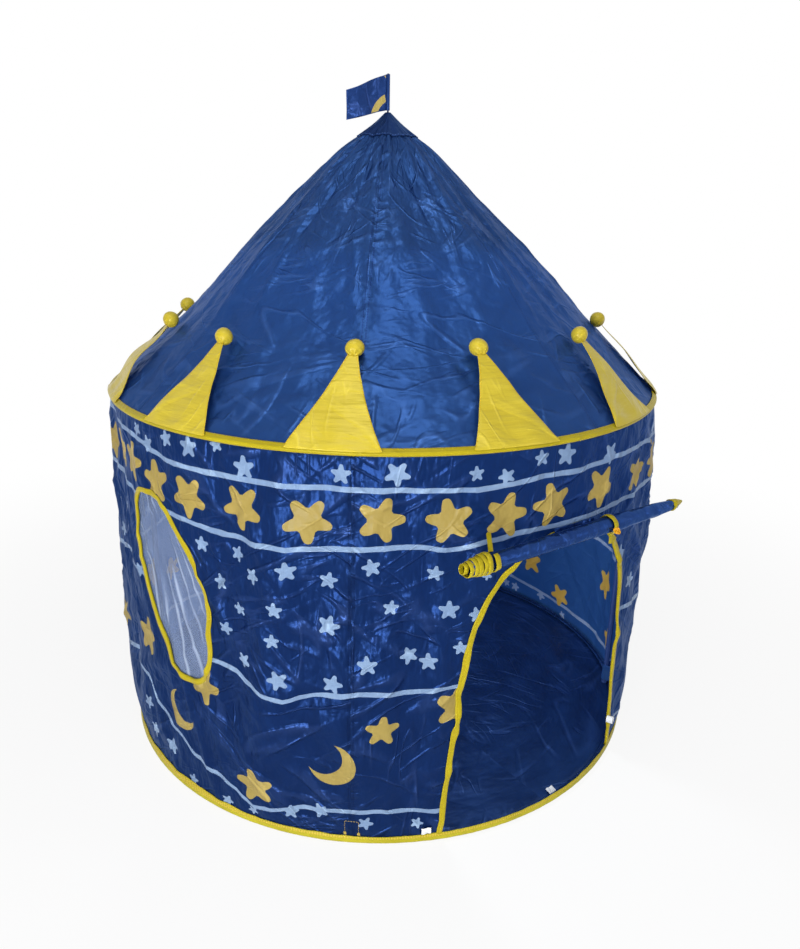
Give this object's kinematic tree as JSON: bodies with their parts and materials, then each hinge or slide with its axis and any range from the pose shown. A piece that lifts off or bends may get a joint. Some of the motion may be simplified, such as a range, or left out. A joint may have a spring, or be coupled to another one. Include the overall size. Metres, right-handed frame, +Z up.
{
  "type": "play tent",
  "caption": "Round play tent with a cone roof on poles, an arched doorway under its rolled flap, a net window, stuffed crown points round the eave and a flag.",
  "frame": {"origin": "middle of the underside of the ground sheet, on the floor under the apex", "axes": "+Z up to the apex, -Y out of the doorway, +X to the right of someone who faces the doorway"},
  "size_m": [1.05, 1.0867, 1.2308],
  "materials": {
    "printed_cloth": "thin woven polyester with a slight sheen, printed with stars, moons and stripes",
    "flap_cloth": "thin woven polyester with a slight sheen",
    "roof_cloth": "thin plain woven polyester with a slight sheen",
    "ground_cloth": "coated woven polyester",
    "satin": "glossy satin, stuffed at the tip",
    "binding_tape": "folded woven tape, sewn",
    "net": "fine see-through net",
    "spring_steel": "drawn wire",
    "pole_plastic": "smooth white tube",
    "fitting_plastic": "moulded white fitting"
  },
  "bodies": {
    "tent": {"ground_sheet": "ground_cloth", "base_hoop": "spring_steel", "eave_hoop": "spring_steel", "base_binding": "binding_tape", "eave_binding": "binding_tape", "wall_front": "printed_cloth", "wall_right": "printed_cloth", "wall_back": "printed_cloth", "wall_left": "printed_cloth", "door_binding": "binding_tape", "window_binding": "binding_tape", "window_net": "net", "roof_gore_1": "roof_cloth", "roof_gore_2": "roof_cloth", "roof_gore_3": "roof_cloth", "roof_gore_4": "roof_cloth", "roof_gore_5": "roof_cloth", "roof_gore_6": "roof_cloth", "roof_gore_7": "roof_cloth", "roof_gore_8": "roof_cloth", "apex_cap": "roof_cloth", "leg_lower_1": "pole_plastic", "leg_lower_2": "pole_plastic", "leg_lower_3": "pole_plastic", "leg_lower_4": "pole_plastic", "leg_upper_1": "pole_plastic", "leg_upper_2": "pole_plastic", "leg_upper_3": "pole_plastic", "leg_upper_4": "pole_plastic", "eave_elbow_1": "fitting_plastic", "eave_elbow_2": "fitting_plastic", "eave_elbow_3": "fitting_plastic", "eave_elbow_4": "fitting_plastic", "roof_pole_1": "pole_plastic", "roof_pole_2": "pole_plastic", "roof_pole_3": "pole_plastic", "roof_pole_4": "pole_plastic", "apex_hub": "fitting_plastic", "flag_stem": "fitting_plastic", "foot_pocket_1": "printed_cloth", "foot_pocket_2": "printed_cloth", "foot_pocket_3": "printed_cloth", "foot_pocket_4": "printed_cloth"},
    "crown_1": {"crown_point_1": "satin"},
    "crown_2": {"crown_point_2": "satin"},
    "crown_3": {"crown_point_3": "satin"},
    "crown_4": {"crown_point_4": "satin"},
    "crown_5": {"crown_point_5": "satin"},
    "crown_6": {"crown_point_6": "satin"},
    "crown_7": {"crown_point_7": "satin"},
    "crown_8": {"crown_point_8": "satin"},
    "crown_9": {"crown_point_9": "satin"},
    "crown_10": {"crown_point_10": "satin"},
    "crown_11": {"crown_point_11": "satin"},
    "crown_12": {"crown_point_12": "satin"},
    "roll": {"door_roll": "flap_cloth", "door_roll_edge": "binding_tape", "roll_tie_left": "binding_tape", "roll_tie_middle": "binding_tape"},
    "flag": {"flag": "flap_cloth"}
  },
  "joints": [
    {"name": "crown_hinge_1", "type": "hinge", "parent": "tent", "child": "crown_1", "pos_m": [-0.50275, -0.1537, 0.68451], "axis": [0.2924, -0.9563, 0], "range_deg": [0, 130]},
    {"name": "crown_hinge_2", "type": "hinge", "parent": "tent", "child": "crown_2", "pos_m": [-0.35854, -0.38449, 0.68451], "axis": [0.7314, -0.682, 0], "range_deg": [0, 130]},
    {"name": "crown_hinge_3", "type": "hinge", "parent": "tent", "child": "crown_3", "pos_m": [-0.11826, -0.51224, 0.68451], "axis": [0.9744, -0.225, 0], "range_deg": [0, 130]},
    {"name": "crown_hinge_4", "type": "hinge", "parent": "tent", "child": "crown_4", "pos_m": [0.1537, -0.50275, 0.68451], "axis": [0.9563, 0.2924, 0], "range_deg": [0, 130]},
    {"name": "crown_hinge_5", "type": "hinge", "parent": "tent", "child": "crown_5", "pos_m": [0.38449, -0.35854, 0.68451], "axis": [0.682, 0.7314, 0], "range_deg": [0, 130]},
    {"name": "crown_hinge_6", "type": "hinge", "parent": "tent", "child": "crown_6", "pos_m": [0.51224, -0.11826, 0.68451], "axis": [0.225, 0.9744, 0], "range_deg": [0, 130]},
    {"name": "crown_hinge_7", "type": "hinge", "parent": "tent", "child": "crown_7", "pos_m": [0.50275, 0.1537, 0.68451], "axis": [-0.2924, 0.9563, 0], "range_deg": [0, 130]},
    {"name": "crown_hinge_8", "type": "hinge", "parent": "tent", "child": "crown_8", "pos_m": [0.35854, 0.38449, 0.68451], "axis": [-0.7314, 0.682, 0], "range_deg": [0, 130]},
    {"name": "crown_hinge_9", "type": "hinge", "parent": "tent", "child": "crown_9", "pos_m": [0.11826, 0.51224, 0.68451], "axis": [-0.9744, 0.225, 0], "range_deg": [0, 130]},
    {"name": "crown_hinge_10", "type": "hinge", "parent": "tent", "child": "crown_10", "pos_m": [-0.1537, 0.50275, 0.68451], "axis": [-0.9563, -0.2924, 0], "range_deg": [0, 130]},
    {"name": "crown_hinge_11", "type": "hinge", "parent": "tent", "child": "crown_11", "pos_m": [-0.38449, 0.35854, 0.68451], "axis": [-0.682, -0.7314, 0], "range_deg": [0, 130]},
    {"name": "crown_hinge_12", "type": "hinge", "parent": "tent", "child": "crown_12", "pos_m": [-0.51224, 0.11826, 0.68451], "axis": [-0.225, -0.9744, 0], "range_deg": [0, 130]},
    {"name": "roll_hinge", "type": "hinge", "parent": "tent", "child": "roll", "pos_m": [0, -0.52413, 0.5435], "axis": [-1, 0, 0], "range_deg": [0, 35]},
    {"name": "flag_hinge", "type": "hinge", "parent": "tent", "child": "flag", "pos_m": [0, 0, 1.2], "axis": [0, 0, 1], "continuous": true}
  ]
}
